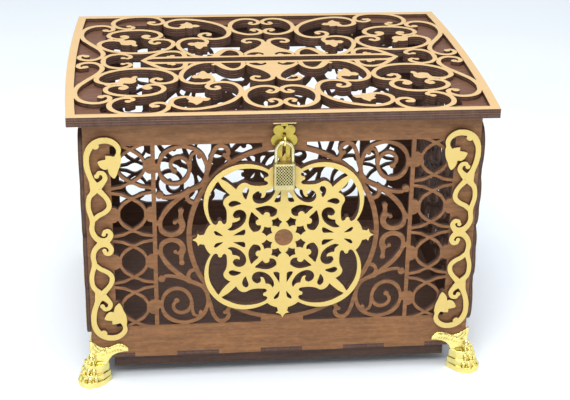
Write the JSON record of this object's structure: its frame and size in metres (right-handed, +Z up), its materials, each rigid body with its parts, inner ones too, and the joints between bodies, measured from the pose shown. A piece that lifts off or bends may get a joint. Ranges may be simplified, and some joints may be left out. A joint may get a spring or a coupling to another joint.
{
  "type": "wedding card box",
  "caption": "Fretted plywood card box with a flat slotted lid, gold scroll overlays, lion paw feet and a padlocked hasp.",
  "frame": {"origin": "centre of the underside, on the table midway between the four feet", "axes": "+X along the width to the right of a person facing the front, +Y from the front to the back, +Z up; the padlocked front faces -Y"},
  "size_m": [0.352, 0.2803, 0.243],
  "materials": {
    "stained_plywood": "birch plywood stained mid brown, satin, edges burnt dark by the laser",
    "gold_paint": "plywood painted matt pale gold on the face, dark burnt edges",
    "polished_gold": "bright gold plating",
    "brass_hardware": "thin pressed brass, satin",
    "padlock_brass": "pale satin brass, knurled on the front",
    "shackle_brass": "pale polished brass wire"
  },
  "bodies": {
    "box": {"front_panel": "stained_plywood", "back_panel": "stained_plywood", "left_side_panel": "stained_plywood", "right_side_panel": "stained_plywood", "floor_panel": "stained_plywood", "base_rail_front": "stained_plywood", "base_rail_back": "stained_plywood", "base_rail_left": "stained_plywood", "base_rail_right": "stained_plywood", "medallion_overlay": "gold_paint", "medallion_disc": "stained_plywood", "front_column_left": "gold_paint", "front_column_right": "gold_paint", "left_side_column_front": "gold_paint", "left_side_column_rear": "gold_paint", "right_side_column_front": "gold_paint", "right_side_column_rear": "gold_paint", "foot_front_left": "polished_gold", "foot_front_right": "polished_gold", "foot_rear_left": "polished_gold", "foot_rear_right": "polished_gold", "hinge_body_leaf_left": "brass_hardware", "hinge_body_leaf_right": "brass_hardware", "hinge_pin_left": "brass_hardware", "hinge_pin_right": "brass_hardware", "hinge_body_screws": "brass_hardware", "staple_plate": "brass_hardware", "staple": "polished_gold", "staple_screws": "brass_hardware"},
    "lid": {"lid_base": "stained_plywood", "lid_fretwork": "gold_paint", "hinge_lid_leaf_left": "brass_hardware", "hinge_lid_leaf_right": "brass_hardware", "hinge_lid_screws": "brass_hardware", "hasp_plate": "brass_hardware", "hasp_pin": "brass_hardware", "hasp_screws": "brass_hardware"},
    "hasp": {"hasp_leaf": "polished_gold"},
    "padlock_shackle": {"shackle": "shackle_brass"},
    "padlock_body": {"lock_body": "padlock_brass"},
    "padlock_plug": {"lock_plug": "padlock_brass"}
  },
  "joints": [
    {"name": "lid_open", "type": "hinge", "parent": "box", "child": "lid", "pos_m": [0, 0.1296, 0.2324], "axis": [-1, 0, 0], "range_deg": [0, 100]},
    {"name": "hasp_swing", "type": "hinge", "parent": "lid", "child": "hasp", "pos_m": [-0.001, -0.1315, 0.2331], "axis": [-1, 0, 0], "range_deg": [0, 3]},
    {"name": "padlock_swing", "type": "hinge", "parent": "box", "child": "padlock_shackle", "pos_m": [-0.001, -0.1354, 0.2151], "axis": [0, 1, 0], "range_deg": [-20, 20]},
    {"name": "shackle_release", "type": "slide", "parent": "padlock_shackle", "child": "padlock_body", "axis": [0, 0, -1], "range_m": [0, 0.005]},
    {"name": "key_turn", "type": "hinge", "parent": "padlock_body", "child": "padlock_plug", "pos_m": [-0.001, -0.1354, 0.178], "axis": [0, 0, 1], "range_deg": [0, 90]}
  ]
}
